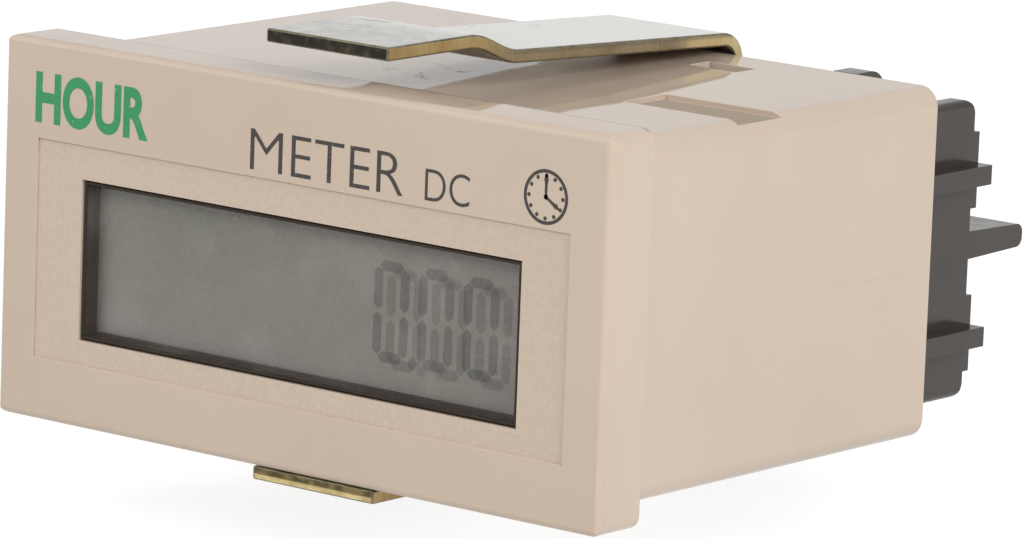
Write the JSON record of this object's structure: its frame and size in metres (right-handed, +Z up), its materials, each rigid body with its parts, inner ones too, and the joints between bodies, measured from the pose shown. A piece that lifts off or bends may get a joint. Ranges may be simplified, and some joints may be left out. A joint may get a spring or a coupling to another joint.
{
  "type": "panel hour meter",
  "caption": "Panel-mounting hour meter: cream case with a recessed liquid-crystal display, a black rear block with screw terminals and sprung leaf clips",
  "frame": {"origin": "centre of the panel seat, in the plane of the bezel's back face", "axes": "+X right as seen from the front, +Y towards the rear, out of the panel's back, +Z up"},
  "size_m": [0.048, 0.0488, 0.0278],
  "materials": {
    "cream_plastic": "fine matt moulded grain",
    "dark_plastic": "matt",
    "clear_plastic": "clear, polished",
    "display_glass": "grey reflective display glass",
    "elastomer": "matt",
    "circuit_board": "satin solder mask",
    "black_epoxy": "matt",
    "tinned_steel": "plated",
    "cell_sleeve": "glossy shrink sleeve",
    "brass": "plain",
    "capacitor_sleeve": "glossy shrink sleeve",
    "resistor_body": "lacquered",
    "black_plastic": "satin moulded",
    "spring_steel": "plated, with yellowish cut edges"
  },
  "bodies": {
    "case": {"housing": "cream_plastic", "display_frame": "dark_plastic", "display_lens": "clear_plastic", "lcd_cell": "display_glass", "upper_contact_strip": "elastomer", "lower_contact_strip": "elastomer", "display_board": "circuit_board", "controller_chip": "black_epoxy", "crystal": "tinned_steel", "lithium_cell": "cell_sleeve", "positive_tab": "tinned_steel", "negative_tab": "tinned_steel", "input_board": "circuit_board", "link_header": "brass", "optocoupler": "black_epoxy", "rectifier": "black_epoxy", "smoothing_capacitor": "capacitor_sleeve", "dropper_resistor": "resistor_body", "terminal_block": "black_plastic", "terminal_lugs": "brass"},
    "top_clip": {"top_clip": "spring_steel"},
    "bottom_clip": {"bottom_clip": "spring_steel"},
    "clamp_1": {"clamp_plate_1": "tinned_steel"},
    "screw_1": {"terminal_screw_1": "tinned_steel"},
    "clamp_2": {"clamp_plate_2": "tinned_steel"},
    "screw_2": {"terminal_screw_2": "tinned_steel"},
    "clamp_3": {"clamp_plate_3": "tinned_steel"},
    "screw_3": {"terminal_screw_3": "tinned_steel"},
    "clamp_4": {"clamp_plate_4": "tinned_steel"},
    "screw_4": {"terminal_screw_4": "tinned_steel"}
  },
  "joints": [
    {"name": "top_clip_lift", "type": "hinge", "parent": "case", "child": "top_clip", "pos_m": [0.0017, 0.0306, 0.0111], "axis": [-1, 0, 0], "range_deg": [-1.8, 8], "stiffness_Nm_per_rad": 0.3},
    {"name": "bottom_clip_lift", "type": "hinge", "parent": "case", "child": "bottom_clip", "pos_m": [0.0017, 0.0306, -0.0111], "axis": [1, 0, 0], "range_deg": [0, 8], "stiffness_Nm_per_rad": 0.3},
    {"name": "clamp_1_slide", "type": "slide", "parent": "case", "child": "clamp_1", "axis": [0, 1, 0], "range_m": [0, 0.002]},
    {"name": "screw_1_turn", "type": "hinge", "parent": "clamp_1", "child": "screw_1", "pos_m": [-0.0144, 0.037, 0.00553], "axis": [0, 1, 0], "range_deg": [0, 1440]},
    {"name": "clamp_2_slide", "type": "slide", "parent": "case", "child": "clamp_2", "axis": [0, 1, 0], "range_m": [0, 0.002]},
    {"name": "screw_2_turn", "type": "hinge", "parent": "clamp_2", "child": "screw_2", "pos_m": [0.0144, 0.037, 0.00553], "axis": [0, 1, 0], "range_deg": [0, 1440]},
    {"name": "clamp_3_slide", "type": "slide", "parent": "case", "child": "clamp_3", "axis": [0, 1, 0], "range_m": [0, 0.002]},
    {"name": "screw_3_turn", "type": "hinge", "parent": "clamp_3", "child": "screw_3", "pos_m": [-0.0144, 0.037, -0.00647], "axis": [0, 1, 0], "range_deg": [0, 1440]},
    {"name": "clamp_4_slide", "type": "slide", "parent": "case", "child": "clamp_4", "axis": [0, 1, 0], "range_m": [0, 0.002]},
    {"name": "screw_4_turn", "type": "hinge", "parent": "clamp_4", "child": "screw_4", "pos_m": [0.0144, 0.037, -0.00647], "axis": [0, 1, 0], "range_deg": [0, 1440]}
  ],
  "couplings": [
    {"joint": "screw_1_turn", "follows": "clamp_1_slide", "rad_per_m": 12566},
    {"joint": "screw_2_turn", "follows": "clamp_2_slide", "rad_per_m": 12566},
    {"joint": "screw_3_turn", "follows": "clamp_3_slide", "rad_per_m": 12566},
    {"joint": "screw_4_turn", "follows": "clamp_4_slide", "rad_per_m": 12566}
  ]
}
